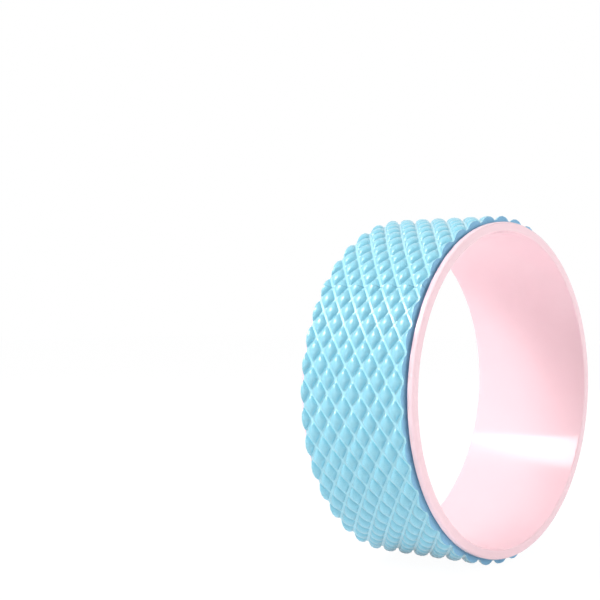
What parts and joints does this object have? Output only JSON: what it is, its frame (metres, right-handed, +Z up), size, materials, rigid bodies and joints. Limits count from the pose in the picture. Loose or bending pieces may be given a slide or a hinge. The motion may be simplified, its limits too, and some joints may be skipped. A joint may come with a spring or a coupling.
{
  "type": "yoga wheel",
  "caption": "Open hoop with a soft diamond-patterned tread bonded round its outside, for lying, leaning or balancing on in back stretches and yoga poses.",
  "frame": {"origin": "centre of the wheel: on the axle line, half way across the hoop", "axes": "+Y along the axle line towards the back end, +Z up; the front end faces -Y and the tread's seam is on the upper -X side"},
  "size_m": [0.33, 0.128, 0.3295],
  "materials": {
    "hoop": "pale pink glossy moulded ABS",
    "film": "translucent contact adhesive, hidden",
    "tread": "light blue matte closed-cell TPE foam, moulded in diamonds"
  },
  "bodies": {
    "root": {"inner_hoop": "hoop", "adhesive_film": "film", "tread_pad": "tread"}
  },
  "joints": []
}
